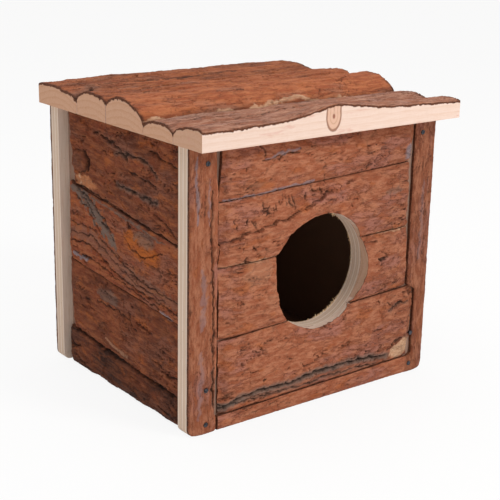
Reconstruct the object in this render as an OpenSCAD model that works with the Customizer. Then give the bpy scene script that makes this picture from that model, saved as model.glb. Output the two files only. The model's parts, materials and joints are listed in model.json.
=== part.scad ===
// Bark-faced nest house: five plywood panels faced with crowned bark slabs,
// under a loose flat roof of five thick slabs on two battens.
// Front faces -Y, +X is to the right of the front, +Z is up.
// The origin is on the base, midway across and midway from front to back.

/* [Body] */
// Width of the front and back panels
body_w = 145; // [115:1:220]
// Depth from the front bark's edge to the back bark's edge
body_d = 121.6; // [95:0.1:200]
// Height from the base to the underside of the roof
body_h = 132.3; // [105:0.1:220]

/* [Plywood] */
// Thickness of the front panel
front_ply = 7; // [4:0.5:12]
// Thickness of each side panel
side_ply = 7; // [4:0.5:12]
// Thickness of the back panel
back_ply = 7; // [4:0.5:12]
// Thickness of the floor panel
floor_ply = 5; // [3:0.5:10]
// Radius of the bottom corners of the front and back panels
corner_r = 3.5; // [1:0.5:6]

/* [Entrance] */
// Diameter of the entrance hole
hole_d = 55.5; // [25:0.5:70]
// Distance of the hole's centre to the right of the middle
hole_x = 0.6; // [-10:0.1:10]
// Height of the hole's centre above the middle of the body's height
hole_rise = -0.45; // [-10:0.05:10]
// Bark broken back from the hole's edge
bark_break = 0.3; // [0.1:0.1:1]

/* [Bark facing] */
// Thickness of the front bark along its edges
front_edge_t = 2; // [1:0.5:4]
// Extra thickness of the front bark along its crown
front_crown_t = 2.6; // [1:0.1:5]
// Thickness of the side bark along its edges
side_edge_t = 3.2; // [1:0.1:4]
// Extra thickness of the side bark along its crown
side_crown_t = 1.4; // [1:0.1:4]
// Distance of the side bark's crown inside the panels' ends
side_inset = 0.9; // [0.2:0.1:3]
// Thickness of the back bark along its edges
back_edge_t = 1.5; // [1:0.5:4]
// Extra thickness of the back bark along its crown
back_crown_t = 2; // [1:0.1:5]
// Open joint between neighbouring pieces of bark
seam = 0.4; // [0.2:0.1:1]
// Gap between the top of the bark and the roof
top_gap = 0.5; // [0.3:0.1:2]
// Height of the front bottom rail
rail_h = 7.2; // [5:0.1:15]
// Width of the left stile on the front
left_stile_w = 15; // [10:0.5:22]
// Width of the right stile on the front
right_stile_w = 13.7; // [10:0.1:22]
// Width of the two stiles on the back
back_stile_w = 14; // [10:0.5:22]

/* [Roof] */
// Overhang past each side
eave_side = 2.7; // [1:0.1:15]
// Overhang past the front bark's edge
eave_front = 12; // [6:0.5:30]
// Overhang past the back bark's edge
eave_back = 5.2; // [5:0.1:20]
// Thickness of the thinnest edge of a roof slab
roof_edge_t = 5.8; // [4:0.1:10]
// Width of each roof batten
batten_w = 12; // [8:1:20]
// Depth of each roof batten below the slabs
batten_t = 8; // [5:0.5:14]
// Clearance between a batten and the panels that locate it
batten_gap = 1; // [0.5:0.1:2]

/* [Brads] */
// Diameter of a brad's shank
brad_d = 1.2; // [0.8:0.1:2]
// Length of a brad
brad_l = 20; // [16:1:30]
// Width of a brad's head
brad_head_d = 2.2; // [1.6:0.1:4]
// Thickness of a brad's head
brad_head_t = 0.5; // [0.3:0.1:1]

/* [Hidden] */
$fn = 64;

// The batten brads stop this far short of the thinnest slab's top
nail_cover = 1;
// The brads' heads stand this far out of what they are driven into
head_proud = 0.3;
// Height of the rail's bottom edge above the base
rail_lift = 0.3;

// Distances of the plywood's outer faces from the middle
front_face = body_d / 2 - front_edge_t;
back_face = body_d / 2 - back_edge_t;
side_face = body_w / 2 - side_inset - side_edge_t - side_crown_t;
// Distances of the plywood's inner faces from the middle
front_in = front_face - front_ply;
back_in = back_face - back_ply;
side_in = side_face - side_ply;

// Where the front bark's bays start and stop, across the panel
bay_left = -body_w / 2 + left_stile_w;
bay_right = body_w / 2 - right_stile_w;
bark_top = body_h - top_gap;
// Height of the hole's centre above the base
hole_z = body_h / 2 + hole_rise;

// Seams between the front slats, as shares of the height above the rail: [left, right]
front_seams = [[0, 0], [0.285, 0.318], [0.555, 0.568], [0.795, 0.829], [1, 1]];
// Seams between the side slabs, as shares of the panel's height: [rear, front]
side_seams = [[0.003, 0.004], [0.147, 0.104], [0.424, 0.374], [0.724, 0.642], [1, 1]];
// How far the four side slabs stop short of the back panel, from the bottom up: [bottom, top]
side_short = [[0.5, 1], [5, 2], [2.6, 3], [8, 4]];
// Seams between the back slabs, as shares of the panel's height: [left, right]
back_seams = [[0, 0], [0.24, 0.21], [0.5, 0.53], [0.77, 0.74], [1, 1]];

// Widths of the roof slabs from front to back, as shares of the roof's depth
roof_shares = [20.9, 23.3, 31.2, 26.1, 37.3];
// Rise of each roof slab's crown above its edges
roof_rises = [3.4, 2.4, 7.6, 5, 4.5];
// Extra thickness under each slab's edges
roof_steps = [1.1, 0.2, 0.2, 3.2, 1.6];
// Height of the hump at the middle of the front slab's edge
fascia_hump = 3.6;

roof_front = -body_d / 2 - eave_front;
roof_depth = body_d + eave_front + eave_back;
roof_w = body_w + 2 * eave_side;

function total(list, count) = count == 0 ? 0 : list[count - 1] + total(list, count - 1);
function arc_radius(width, rise) = (width * width / 4 + rise * rise) / (2 * rise);

// Places a facing drawn in X and Y, with its thickness along Z, on an upright face.
// The turn is 0 for the front, 180 for the back, -90 for the left and 90 for the right.
module on_face(turn, distance) {
    rotate([90, 0, turn])
        translate([0, 0, distance])
            children();
}

// A piece of bark with its crown along the line between the middles of its ends.
// low and high give the heights of its long edges at x0 and at x1.
module bark(x0, x1, low, high, edge_t, crown_t) {
    left_mid = (low[0] + high[0]) / 2;
    right_mid = (low[1] + high[1]) / 2;
    tilt = atan2(right_mid - left_mid, x1 - x0);
    width = max(high[0] - low[0], high[1] - low[1]);
    radius = arc_radius(width, crown_t);
    intersection() {
        linear_extrude(edge_t + crown_t)
            polygon([[x0, low[0]], [x1, low[1]], [x1, high[1]], [x0, high[0]]]);
        translate([(x0 + x1) / 2, (left_mid + right_mid) / 2, edge_t + crown_t - radius])
            rotate([0, 0, tilt])
                rotate([0, 90, 0])
                    cylinder(r = radius, h = 3 * (x1 - x0), center = true, $fn = 180);
    }
}

// An upright strip of bark, crowned across its width, rounded at the bottom like its panel.
module stile(x0, x1, edge_t, crown_t) {
    radius = arc_radius(x1 - x0, crown_t);
    intersection() {
        linear_extrude(edge_t + crown_t)
            intersection() {
                end_outline();
                translate([x0, 0])
                    square([x1 - x0, bark_top]);
            }
        translate([(x0 + x1) / 2, bark_top / 2, edge_t + crown_t - radius])
            rotate([90, 0, 0])
                cylinder(r = radius, h = 2 * bark_top, center = true, $fn = 180);
    }
}

// A brad along -Z, with the top of its head at the origin.
module brad(length) {
    translate([0, 0, -brad_head_t])
        cylinder(d = brad_head_d, h = brad_head_t, $fn = 24);
    translate([0, 0, -length])
        cylinder(d = brad_d, h = length - brad_head_t / 2, $fn = 24);
}

// ---------- plywood ----------

// The outline of the front and back panels, with rounded bottom corners.
module end_outline() {
    difference() {
        translate([-body_w / 2, 0])
            square([body_w, body_h]);
        for (side = [-1, 1])
            translate([side * body_w / 2, 0])
                mirror([side > 0 ? 1 : 0, 0])
                    difference() {
                        translate([-1, -1])
                            square(corner_r + 1);
                        translate([corner_r, corner_r])
                            circle(r = corner_r);
                    }
    }
}

module front_panel() {
    color("burlywood")
        on_face(0, front_in)
            difference() {
                linear_extrude(front_ply)
                    end_outline();
                translate([hole_x, hole_z, -1])
                    cylinder(d = hole_d, h = front_ply + 2, $fn = 96);
            }
}

module back_panel() {
    color("burlywood")
        on_face(180, back_in)
            linear_extrude(back_ply)
                end_outline();
}

module side_panel(side) {
    color("burlywood")
        translate([side > 0 ? side_in : -side_face, -front_in, 0])
            cube([side_ply, front_in + back_in, body_h]);
}

module left_side_panel() { side_panel(-1); }

module right_side_panel() { side_panel(1); }

module floor_panel() {
    color("burlywood")
        translate([-side_in, -front_in, 0])
            cube([2 * side_in, front_in + back_in, floor_ply]);
}

// ---------- front bark ----------

// Height of a front seam at the left or right end of the slats.
function front_seam(number, end) =
    rail_h + front_seams[number][end] * (bark_top - rail_h);

module front_slat(number) {
    color("sienna")
        on_face(0, front_face)
            difference() {
                bark(
                    bay_left + seam, bay_right - seam,
                    [front_seam(number - 1, 0) + seam, front_seam(number - 1, 1) + seam],
                    [front_seam(number, 0), front_seam(number, 1)],
                    front_edge_t, front_crown_t
                );
                translate([hole_x, hole_z, -1])
                    cylinder(d = hole_d + 2 * bark_break, h = front_edge_t + front_crown_t + 2, $fn = 96);
            }
}

// The part of the middle slat on one side of the hole.
module front_middle_slat(side) {
    intersection() {
        front_slat(2);
        translate([hole_x + (side > 0 ? 0 : -body_w), -body_d, 0])
            cube([body_w, body_d, body_h]);
    }
}

module front_left_stile() {
    color("saddlebrown")
        on_face(0, front_face)
            stile(-body_w / 2, bay_left, front_edge_t, front_crown_t / 4);
}

module front_right_stile() {
    color("saddlebrown")
        on_face(0, front_face)
            stile(bay_right, body_w / 2, front_edge_t, front_crown_t / 4);
}

module front_bottom_rail() {
    color("saddlebrown")
        on_face(0, front_face)
            bark(
                bay_left + seam, bay_right - seam,
                [rail_lift, rail_lift], [rail_h, rail_h],
                front_edge_t, front_crown_t / 4
            );
}

module front_lower_slat() { front_slat(1); }

module front_middle_left_slat() { color("sienna") front_middle_slat(-1); }

module front_middle_right_slat() { color("sienna") front_middle_slat(1); }

module front_upper_slat() { front_slat(3); }

module front_top_slat() { front_slat(4); }

// ---------- side bark ----------

// Height of a side seam at the rear or front end of the slabs.
function side_seam(number, end) = side_seams[number][end] * bark_top;

// The rear end is cut back along a slope, which leaves a strip of plywood bare.
module side_slab(side, number) {
    rear = back_in - seam;
    front = -front_in + seam;
    low = [side_seam(number - 1, 0) + seam, side_seam(number - 1, 1) + seam];
    high = [side_seam(number, 0), side_seam(number, 1)];
    short = side_short[number - 1];
    color("brown")
        mirror([side > 0 ? 1 : 0, 0, 0])
            on_face(-90, side_face)
                difference() {
                    bark(-rear, -front, low, high, side_edge_t, side_crown_t);
                    translate([0, 0, -1])
                        linear_extrude(side_edge_t + side_crown_t + 2)
                            polygon([
                                [-rear - 1, low[0] - 1],
                                [-rear + short[0], low[0] - 1],
                                [-rear + short[1], high[0] + 1],
                                [-rear - 1, high[0] + 1]
                            ]);
                }
}

module left_slab_1() { side_slab(-1, 1); }

module left_slab_2() { side_slab(-1, 2); }

module left_slab_3() { side_slab(-1, 3); }

module left_slab_4() { side_slab(-1, 4); }

module right_slab_1() { side_slab(1, 1); }

module right_slab_2() { side_slab(1, 2); }

module right_slab_3() { side_slab(1, 3); }

module right_slab_4() { side_slab(1, 4); }

// ---------- back bark ----------

function back_seam(number, end) = back_seams[number][end] * bark_top;

module back_slab(number) {
    reach = body_w / 2 - back_stile_w - seam;
    color("sienna")
        on_face(180, back_face)
            bark(
                -reach, reach,
                [back_seam(number - 1, 0) + seam, back_seam(number - 1, 1) + seam],
                [back_seam(number, 0), back_seam(number, 1)],
                back_edge_t, back_crown_t
            );
}

module back_stile(side) {
    color("saddlebrown")
        mirror([side > 0 ? 1 : 0, 0, 0])
            on_face(180, back_face)
                stile(body_w / 2 - back_stile_w, body_w / 2, back_edge_t, back_crown_t / 4);
}

module back_left_stile() { back_stile(-1); }

module back_right_stile() { back_stile(1); }

module back_slab_1() { back_slab(1); }

module back_slab_2() { back_slab(2); }

module back_slab_3() { back_slab(3); }

module back_slab_4() { back_slab(4); }

// ---------- brads in the body ----------

// Brads go through an end panel into the edges of both side panels.
module end_brads(turn, face, edge_t, heights) {
    color("silver")
        for (side = [-1, 1])
            for (height = heights)
                on_face(turn, face + edge_t + head_proud)
                    translate([side * (side_face - side_ply / 2), height, 0])
                        brad(brad_l);
}

module front_brads() {
    end_brads(0, front_face, front_edge_t, [corner_r + 1, body_h * 0.16, body_h * 0.94]);
}

module back_brads() {
    end_brads(180, back_face, back_edge_t, [corner_r + 1, body_h * 0.16, body_h * 0.94]);
}

// Brads go through the side panels, under the bark, into the edges of the floor.
module floor_brads() {
    color("silver")
        for (turn = [-90, 90])
            for (share = [-0.3, 0.3])
                on_face(turn, side_face)
                    translate([share * body_d, floor_ply / 2, 0])
                        brad(brad_l);
}

// ---------- roof ----------

// One roof slab runs from side to side, flat below and crowned above.
module roof_slab(number) {
    y0 = roof_front + roof_depth * total(roof_shares, number - 1) / total(roof_shares, 5);
    y1 = roof_front + roof_depth * total(roof_shares, number) / total(roof_shares, 5);
    base = y0 + (number > 1 ? seam / 2 : 0);
    width = y1 - base - (number < 5 ? seam / 2 : 0);
    edge = roof_edge_t + roof_steps[number - 1];
    rise = roof_rises[number - 1];
    radius = arc_radius(width, rise);
    color("peru")
        translate([-roof_w / 2, base, body_h])
            rotate([90, 0, 90])
                linear_extrude(roof_w)
                    intersection() {
                        square([width, edge + rise]);
                        translate([width / 2, edge + rise - radius])
                            circle(r = radius, $fn = 360);
                    }
}

// The front slab also swells to a hump at the middle of its length.
module roof_slab_1() {
    edge = roof_edge_t + roof_steps[0] + roof_rises[0];
    width = roof_depth * roof_shares[0] / total(roof_shares, 5) - seam / 2;
    hump_w = roof_w * 0.55;
    radius = arc_radius(hump_w, fascia_hump);
    union() {
        roof_slab(1);
        color("peru")
            translate([0, roof_front + width, body_h])
                rotate([90, 0, 0])
                    linear_extrude(width)
                        intersection() {
                            translate([-hump_w / 2, edge - roof_rises[0] / 2 - 1])
                                square([hump_w, fascia_hump + roof_rises[0]]);
                            translate([0, edge - roof_rises[0] / 2 + fascia_hump - radius])
                                circle(r = radius, $fn = 360);
                        }
    }
}

module roof_slab_2() { roof_slab(2); }

module roof_slab_3() { roof_slab(3); }

module roof_slab_4() { roof_slab(4); }

module roof_slab_5() { roof_slab(5); }

batten_y0 = -front_in + batten_gap;
batten_l = front_in + back_in - 2 * batten_gap;
batten_x = side_in - batten_gap - batten_w;

module roof_batten(side) {
    color("burlywood")
        translate([side > 0 ? batten_x : -batten_x - batten_w, batten_y0, body_h - batten_t])
            cube([batten_w, batten_l, batten_t]);
}

module roof_batten_left() { roof_batten(-1); }

module roof_batten_right() { roof_batten(1); }

// Brads go up through each batten into the roof slabs that it crosses.
module batten_brads() {
    color("silver")
        for (side = [-1, 1])
            for (share = [0.06, 0.3, 0.55, 0.8])
                translate([
                    side * (batten_x + batten_w / 2),
                    batten_y0 + share * batten_l,
                    body_h - batten_t
                ])
                    rotate([180, 0, 0])
                        brad(batten_t + roof_edge_t - nail_cover);
}

front_panel();
back_panel();
left_side_panel();
right_side_panel();
floor_panel();
front_left_stile();
front_right_stile();
front_bottom_rail();
front_lower_slat();
front_middle_left_slat();
front_middle_right_slat();
front_upper_slat();
front_top_slat();
left_slab_1();
left_slab_2();
left_slab_3();
left_slab_4();
right_slab_1();
right_slab_2();
right_slab_3();
right_slab_4();
back_left_stile();
back_right_stile();
back_slab_1();
back_slab_2();
back_slab_3();
back_slab_4();
front_brads();
back_brads();
floor_brads();
roof_slab_1();
roof_slab_2();
roof_slab_3();
roof_slab_4();
roof_slab_5();
roof_batten_left();
roof_batten_right();
batten_brads();
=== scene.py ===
import json
import math

import bpy
import numpy as np
from bpy.props import FloatProperty, FloatVectorProperty, IntProperty, PointerProperty
from mathutils import Matrix, Vector
from mathutils.geometry import tessellate_polygon


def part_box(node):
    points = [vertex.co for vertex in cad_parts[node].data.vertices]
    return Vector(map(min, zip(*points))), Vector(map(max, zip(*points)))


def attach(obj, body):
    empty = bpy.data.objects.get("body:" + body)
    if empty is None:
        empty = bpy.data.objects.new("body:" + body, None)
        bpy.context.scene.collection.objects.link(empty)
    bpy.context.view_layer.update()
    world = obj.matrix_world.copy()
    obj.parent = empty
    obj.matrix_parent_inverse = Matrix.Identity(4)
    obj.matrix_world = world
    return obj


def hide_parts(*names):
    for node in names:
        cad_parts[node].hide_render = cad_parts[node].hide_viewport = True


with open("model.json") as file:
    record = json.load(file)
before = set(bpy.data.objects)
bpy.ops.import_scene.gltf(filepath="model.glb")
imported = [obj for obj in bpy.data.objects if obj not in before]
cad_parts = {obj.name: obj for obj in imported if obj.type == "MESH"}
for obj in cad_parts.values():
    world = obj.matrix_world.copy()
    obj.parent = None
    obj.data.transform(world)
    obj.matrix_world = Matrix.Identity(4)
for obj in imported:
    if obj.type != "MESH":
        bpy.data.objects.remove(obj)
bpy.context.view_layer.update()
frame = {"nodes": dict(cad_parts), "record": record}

bl_info = {
    "name": "Bark nest house",
    "version": (1, 0, 0),
    "blender": (4, 5, 0),
    "location": "3D View > Sidebar > Nest House",
    "description": "Builds a bark-faced plywood nest house with a loose slab roof",
    "category": "Add Mesh",
}

MM = 0.001


# ---------------------------------------------------------------- sizes from the frame


def box_mm(node):
    """The low and high corners of a CAD node, in millimetres."""
    low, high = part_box(node)
    return np.array(low) / MM, np.array(high) / MM


def mount(name):
    return next(m for m in frame["record"]["mounts"] if m["name"] == name)


FRONT_LOW, FRONT_HIGH = box_mm("front_panel")
BACK_LOW, BACK_HIGH = box_mm("back_panel")
LEFT_LOW, LEFT_HIGH = box_mm("left_side_panel")
RIGHT_LOW, RIGHT_HIGH = box_mm("right_side_panel")
BODY_H = FRONT_HIGH[2]
HALF_W = FRONT_HIGH[0]
BARK_TOP = box_mm("front_top_slat")[1][2]
HOLE_X, _, HOLE_Z = np.array(mount("entrance")["pos_m"]) / MM
HOLE_R = mount("entrance")["dims"]["r_mm"]
ROOF_LOW = box_mm("roof_slab_1")[0]
ROOF_HALF_W = box_mm("roof_slab_1")[1][0]

# Each face of the house: its origin, then the directions of u, v and w in the frame.
# u runs to the right for someone looking at the face, v runs up, and w points outwards.
X, Y, Z = np.eye(3)
FACES = {
    "front": (Y * FRONT_LOW[1], X, Z, -Y),
    "back": (Y * BACK_HIGH[1], -X, Z, Y),
    "left": (X * LEFT_LOW[0], -Y, Z, -X),
    "right": (X * RIGHT_HIGH[0], Y, Z, X),
    "roof": (Z * ROOF_LOW[2], X, Y, Z),
}


# ---------------------------------------------------------------- noise


def scatter(i, j, seed):
    """A repeatable number from 0 to 1 for each whole-numbered cell."""
    mask = 0xFFFFFFFF
    h = (i * 73856093 ^ j * 19349663 ^ seed * 83492791) & mask
    h = (h ^ (h >> 15)) * 2246822519 & mask
    h = (h ^ (h >> 13)) * 3266489917 & mask
    return ((h ^ (h >> 16)) & mask) / mask


def noise(x, y, seed):
    """Smooth noise from about -1 to 1."""
    i = np.floor(x).astype(np.int64)
    j = np.floor(y).astype(np.int64)
    fx, fy = x - i, y - j

    def corner(di, dj):
        turn = 2 * math.pi * scatter(i + di, j + dj, seed)
        return np.cos(turn) * (fx - di) + np.sin(turn) * (fy - dj)

    sx = fx**3 * (fx * (fx * 6 - 15) + 10)
    sy = fy**3 * (fy * (fy * 6 - 15) + 10)
    low = corner(0, 0) + sx * (corner(1, 0) - corner(0, 0))
    high = corner(0, 1) + sx * (corner(1, 1) - corner(0, 1))
    return 1.5 * (low + sy * (high - low))


def fractal(x, y, seed, octaves=4):
    """Noise at several scales, each half as wide and half as strong as the last."""
    total = 0
    for k in range(octaves):
        total = total + noise(x * 2**k, y * 2**k, seed + 101 * k) / 2**k
    return total


def cells(x, y, seed):
    """How far a point is from the edge of its cell, and its cell's own number from 0 to 1."""
    i = np.floor(x).astype(np.int64)
    j = np.floor(y).astype(np.int64)
    best = np.full(x.shape, 9.0)
    second = best.copy()
    own = np.zeros(x.shape)
    for di in (-1, 0, 1):
        for dj in (-1, 0, 1):
            ci, cj = i + di, j + dj
            gap = np.hypot(x - ci - scatter(ci, cj, seed), y - cj - scatter(ci, cj, seed + 1))
            nearer = gap < best
            second = np.where(nearer, best, np.minimum(second, gap))
            own = np.where(nearer, scatter(ci, cj, seed + 2), own)
            best = np.minimum(best, gap)
    return second - best, own


def smooth(x, low, high):
    """0 below low, 1 above high, and a smooth step between."""
    t = np.clip((x - low) / (high - low), 0, 1)
    return t * t * (3 - 2 * t)


# ---------------------------------------------------------------- bark surface

# The first channel is painted shade in cracks, pits, plate gaps and seams; dark is each slab's own darker tone, and on
# the roof also painted shade at its seams; the others are the bark's own colours.
CHANNELS = ("crevice", "warm", "grey", "bare", "dark", "glue")


class Surface:
    """The points of one bark surface on a face, and what is done to them. All in millimetres."""

    def __init__(self, u, v, seed):
        self.u = u
        self.v = v
        self.seed = seed
        self.height = np.zeros(u.shape)
        for name in CHANNELS:
            setattr(self, name, np.zeros(u.shape))

    def wobble(self, size, amount, seed=0):
        """The points moved about a little, so that marks drawn on them have natural edges."""
        return (
            self.u + amount * fractal(self.u / size, self.v / size, self.seed + seed + 7, 3),
            self.v + amount * fractal(self.u / size, self.v / size, self.seed + seed + 19, 3),
        )

    def add(self, channel, amount):
        setattr(self, channel, np.clip(getattr(self, channel) + amount, 0, 1))


def polyline_gap(u, v, points):
    """The distance to a line through the points, the side it is on, and the share run along it."""
    best = np.full(u.shape, 1e9)
    side = np.zeros(u.shape)
    share = np.zeros(u.shape)
    spans = len(points) - 1
    for k in range(spans):
        (u0, v0), (u1, v1) = points[k], points[k + 1]
        du, dv = u1 - u0, v1 - v0
        t = np.clip(((u - u0) * du + (v - v0) * dv) / (du * du + dv * dv), 0, 1)
        gap = np.hypot(u - u0 - t * du, v - v0 - t * dv)
        nearer = gap < best
        side = np.where(nearer, du * (v - v0) - dv * (u - u0), side)
        share = np.where(nearer, (k + t) / spans, share)
        best = np.minimum(best, gap)
    return best, side, share


def crack(s, points, width, depth, **tints):
    """An open crack that narrows towards its ends, with tints for the channels around it."""
    u, v = s.wobble(4.5, 0.9)
    gap, _, share = polyline_gap(u, v, points)
    taper = 0.35 + 0.65 * np.sqrt(np.clip(4 * share * (1 - share), 0, 1))
    taper = taper * (0.75 + 0.5 * fractal(s.u / 5, s.v / 5, s.seed + 3, 2))
    core = 1 - smooth(gap, 0.25 * width * taper, 0.6 * width * taper + 0.25)
    s.height -= depth * core
    # Painted shade in the crack's core.
    s.add("crevice", core)
    for channel, amount in tints.items():
        s.add(channel, amount * (1 - smooth(gap, 0.5 * width, 2.2 * width)))


def streak(s, points, width, rise=0.0, **tints):
    """A smear or worn line along the points, which tints the bark and may stand proud of it."""
    u, v = s.wobble(5, 0.8, 43)
    gap, _, share = polyline_gap(u, v, points)
    taper = 0.4 + 0.6 * np.sqrt(np.clip(4 * share * (1 - share), 0, 1))
    taper = taper * (0.8 + 0.7 * fractal(s.u / 3, s.v / 3, s.seed + 57, 2))
    inside = 1 - smooth(gap, 0.3 * width * taper, 0.55 * width * taper + 0.2)
    s.height += rise * inside
    for channel, amount in tints.items():
        s.add(channel, amount * inside)


def seat(s, centre, height):
    """The place where a brad's head has pressed the bark flat."""
    gap = np.hypot(s.u - centre[0], s.v - centre[1])
    pressed = 1 - smooth(gap, 1.2, 1.9)
    s.height += (np.minimum(s.height, height) - s.height) * pressed


def ledge(s, points, rise, fade):
    """Bark that stands proud on the left of a line, and sinks back over the fade's width."""
    u, v = s.wobble(5, 1.1)
    gap, side, _ = polyline_gap(u, v, points)
    above = np.where(side > 0, 1 - smooth(gap, 0, fade), 0)
    s.height += rise * above
    # The foot below the ledge sinks and gets painted shade.
    foot = np.where(side <= 0, 1 - smooth(gap, 0.1, 0.8), 0)
    s.height -= 0.25 * rise * foot
    s.add("crevice", 0.85 * foot)


def patch(s, centre, size, turn, rise=0.0, **tints):
    """An oval patch with torn edges that raises or sinks the bark and tints it."""
    u, v = s.wobble(4, 1.4, 31)
    c, sn = math.cos(math.radians(turn)), math.sin(math.radians(turn))
    du, dv = u - centre[0], v - centre[1]
    r = np.hypot((du * c + dv * sn) / size[0], (dv * c - du * sn) / size[1])
    inside = 1 - smooth(r, 0.75, 1.05)
    s.height += rise * inside
    for channel, amount in tints.items():
        s.add(channel, amount * inside)


def knot(s, centre, size, turn, rise):
    """A dead branch's stub: a bump ringed by cracks."""
    u, v = s.wobble(4, 0.9, 5)
    c, sn = math.cos(math.radians(turn)), math.sin(math.radians(turn))
    du, dv = u - centre[0], v - centre[1]
    r = np.hypot((du * c + dv * sn) / size[0], (dv * c - du * sn) / size[1])
    bump = 1 - smooth(r, 0.2, 1.15)
    rings = 0.5 + 0.5 * np.cos(r * 15)
    s.height += rise * bump - 0.35 * rings * bump
    rim = np.exp(-(((r - 1) / 0.12) ** 2))
    s.height -= 0.8 * rim
    # Painted shade in the knot's rim crack and between its rings.
    s.add("crevice", 0.9 * rim * smooth(noise(u / 6, v / 6, s.seed + 9), -0.5, 0.3) + 0.45 * rings * bump)
    s.add("grey", 0.25 * bump)


def bark_relief(s, along, across, rough, plates=1.0):
    """The bark's own relief: swells, plates at different heights, flakes, cracks and grain."""
    seed = s.seed
    bent_a = along + 4 * fractal(along / 17, across / 7, seed, 3)
    bent_c = across + 1.5 * fractal(along / 13, across / 6, seed + 11, 3)
    swell = 0.45 * fractal(along / 34, across / 13, seed + 23, 3)
    rim, own = cells(bent_a / 12, bent_c / 4.6, seed + 37)
    gap = 1 - smooth(rim, 0.0, 0.13)
    flake_rim, flake = cells(bent_a / 3.4, bent_c / 1.7, seed + 41)
    ridge = np.abs(fractal(bent_a / 21, bent_c / 3.6, seed + 53, 3))
    opened = smooth(fractal(along / 23, across / 9, seed + 61, 2), -0.05, 0.4)
    fissure = (1 - smooth(ridge, 0.0, 0.075)) * opened
    grain = fractal(bent_a / 2.0, bent_c / 0.9, seed + 71, 4)
    s.height += rough * (swell + plates * (0.5 * (own - 0.5) - 0.22 * gap) + 0.26 * (flake - 0.5))
    s.height += -rough * 0.9 * fissure + 0.12 * grain
    # Painted shade in the fissures, in the gaps round raised plates and under raised flake edges.
    s.add("crevice", 0.85 * fissure + plates * 0.4 * gap * smooth(own, 0.2, 0.8))
    s.add("crevice", 0.22 * (1 - smooth(flake_rim, 0.0, 0.12)) * smooth(flake, 0.45, 0.9))
    s.add("warm", 0.5 * smooth(fractal(along / 12, across / 5, seed + 83, 3), 0.25, 0.8) * (own > 0.35))


# ---------------------------------------------------------------- meshes


def link_mesh(name, points, faces, materials, body, nodes=()):
    """Makes a piece from points in millimetres, and puts it on its body."""
    mesh = bpy.data.meshes.new(name)
    mesh.from_pydata((np.asarray(points) * MM).tolist(), [], faces)
    for material in materials:
        mesh.materials.append(material)
    mesh.update()
    piece = bpy.data.objects.new(name, mesh)
    bpy.context.scene.collection.objects.link(piece)
    mark_piece(piece, body, nodes)
    return piece


def mark_piece(piece, body, nodes=()):
    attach(piece, body)
    if nodes:
        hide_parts(*nodes)


def outline_grid(left, right, low, high, cell):
    """Rows of u and v between four edges. left and right give u for shares up the piece,
    low and high give v for shares along it."""
    length = float(np.max(right(np.array([0.5]))) - np.min(left(np.array([0.5]))))
    width = float(high(np.array([0.5]))[0] - low(np.array([0.5]))[0])
    s = np.linspace(0, 1, max(int(length / cell), 4) + 1)
    t = np.linspace(0, 1, max(int(width / cell), 4) + 1)
    share_u, share_v = np.meshgrid(s, t)
    u = left(share_v) * (1 - share_u) + right(share_v) * share_u
    v = low(share_u) * (1 - share_v) + high(share_u) * share_v
    return u, v, share_u, share_v


def cut_round(u, v, quads, centre, radius, cell):
    """Drops the quads inside a circle and draws the edge that is left onto it."""
    gap = np.hypot(u - centre[0], v - centre[1])
    inside = gap < radius
    quads = quads[inside[quads].sum(axis=1) <= 2]
    edges = edge_ends(quads)
    near = np.zeros(u.shape, bool)
    near[[a for a, b in edges]] = True
    near &= gap < radius + 1.5 * cell
    turn = np.arctan2(v - centre[1], u - centre[0])
    chip = radius + 0.22 * noise(turn * 6, turn * 0 + 0.5, 5) + 0.12 * noise(turn * 19, turn * 0 + 1.5, 6)
    u = np.where(near, centre[0] + chip * np.cos(turn), u)
    v = np.where(near, centre[1] + chip * np.sin(turn), v)
    return u, v, quads


def edge_ends(quads):
    """The directed edges that only one quad uses."""
    ends = [(int(q[k]), int(q[(k + 1) % 4])) for q in quads for k in range(4)]
    used = set(ends)
    return [(a, b) for a, b in ends if (b, a) not in used]


def loops_of(edges):
    following = dict(edges)
    loops = []
    while following:
        start, point = following.popitem()
        loop = [start]
        while point != start:
            loop.append(point)
            point = following.pop(point)
        loops.append(loop)
    return loops


WALL_SHARES = (0.05, 0.11, 0.2, 0.35, 0.55, 0.78, 1.0)


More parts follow.
